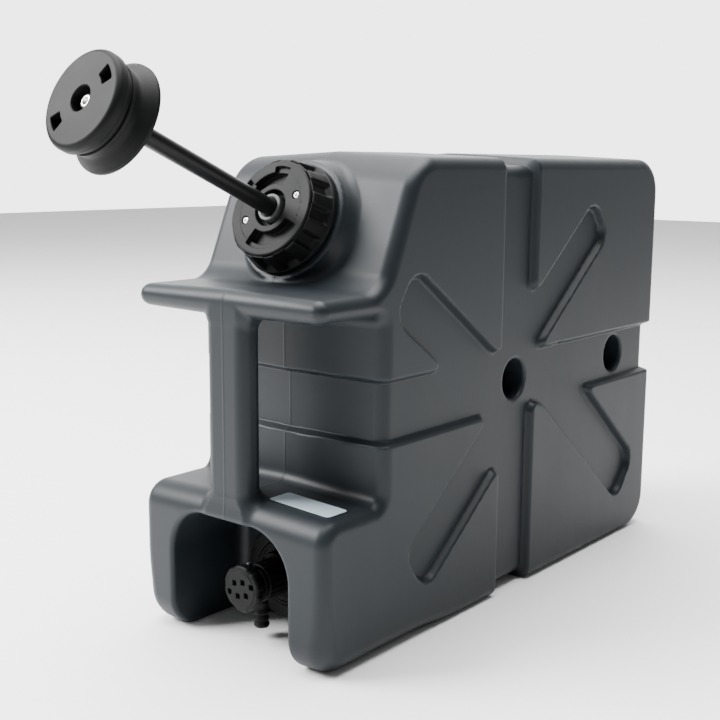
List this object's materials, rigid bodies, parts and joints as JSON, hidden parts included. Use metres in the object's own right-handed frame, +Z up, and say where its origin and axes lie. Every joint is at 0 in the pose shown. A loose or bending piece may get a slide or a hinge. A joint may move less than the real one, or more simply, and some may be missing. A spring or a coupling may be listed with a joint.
{
  "type": "pressurised water tank",
  "caption": "Narrow moulded water tank with a front grip column, a plunger pump in a screw collar and a filter cartridge with a barbed tap.",
  "frame": {"origin": "on the floor under the centre of the whole object's bounding box, with the pump drawn out", "axes": "+Z up; -Y towards the front, where the grip column, the pump and the tap are; +X to the tank's right seen from the front with the viewer facing +Y"},
  "size_m": [0.175, 0.5924, 0.3992],
  "materials": {
    "tank_plastic": "satin blow-moulded polyethylene",
    "black_plastic": "fine-textured moulded nylon",
    "black_rubber": "matt rubber",
    "grey_plastic": "satin acetal",
    "stainless": "bright stainless steel",
    "filter_white": "matt fibre and potting resin",
    "label_white": "satin printed film, blank"
  },
  "bodies": {
    "tank": {"tank_body": "tank_plastic", "rating_label": "label_white"},
    "pump": {"pump_head": "black_plastic", "face_plate": "black_plastic", "face_screw_1": "stainless", "face_screw_2": "stainless", "rod_bush": "grey_plastic", "rod_wiper": "black_rubber", "neck_gasket": "black_rubber", "pump_barrel": "black_plastic", "barrel_foot": "black_plastic"},
    "pump_lock_ring": {"lock_ring": "black_plastic"},
    "pump_valve": {"check_valve": "black_rubber"},
    "piston": {"piston_head": "black_plastic", "piston_seal": "black_rubber"},
    "handle": {"pump_rod": "black_plastic", "piston_nut": "stainless", "handle_reel": "black_plastic", "handle_face": "black_plastic", "handle_washer": "stainless", "handle_screw": "stainless"},
    "filter_unit": {"filter_plate": "black_plastic", "port_seal": "black_rubber", "cartridge_case": "black_plastic", "membrane_bundle": "filter_white", "cartridge_end": "black_plastic", "potting_collar": "filter_white", "tap_body": "black_plastic", "tap_nut": "black_plastic", "hose_spout": "black_plastic"},
    "filter_lock_ring": {"filter_ring": "black_plastic"},
    "tap_handle": {"tap_knob": "black_plastic", "knob_pointer": "grey_plastic", "valve_plug": "grey_plastic", "plug_seal": "black_rubber"}
  },
  "joints": [
    {"name": "pump_lift", "type": "slide", "parent": "tank", "child": "pump", "axis": [0, -0.9205, 0.3907], "range_m": [0, 0.0045]},
    {"name": "lock_ring_turn", "type": "hinge", "parent": "pump", "child": "pump_lock_ring", "pos_m": [0, -0.13026, 0.3059], "axis": [0, -0.9205, 0.3907], "range_deg": [0, 540]},
    {"name": "piston_stroke", "type": "slide", "parent": "pump", "child": "piston", "axis": [0, 0.9205, -0.3907], "range_m": [0, 0.1375]},
    {"name": "handle_turn", "type": "hinge", "parent": "piston", "child": "handle", "pos_m": [0, -0.13026, 0.3059], "axis": [0, -0.9205, 0.3907], "range_deg": [0, 58]},
    {"name": "check_valve_lift", "type": "slide", "parent": "pump", "child": "pump_valve", "axis": [0, 0.9205, -0.3907], "range_m": [0, 0.002], "stiffness_N_per_m": 150},
    {"name": "filter_lift", "type": "slide", "parent": "tank", "child": "filter_unit", "axis": [0, -1, 0], "range_m": [0, 0.0045]},
    {"name": "filter_ring_turn", "type": "hinge", "parent": "filter_unit", "child": "filter_lock_ring", "pos_m": [0, -0.16326, 0.0415], "axis": [0, -1, 0], "range_deg": [0, 540]},
    {"name": "tap_turn", "type": "hinge", "parent": "filter_unit", "child": "tap_handle", "pos_m": [0, -0.16326, 0.0415], "axis": [0, -1, 0], "range_deg": [0, 90]}
  ],
  "couplings": [
    {"joint": "lock_ring_turn", "follows": "pump_lift", "rad_per_m": 2094.4},
    {"joint": "filter_ring_turn", "follows": "filter_lift", "rad_per_m": 2094.4}
  ]
}
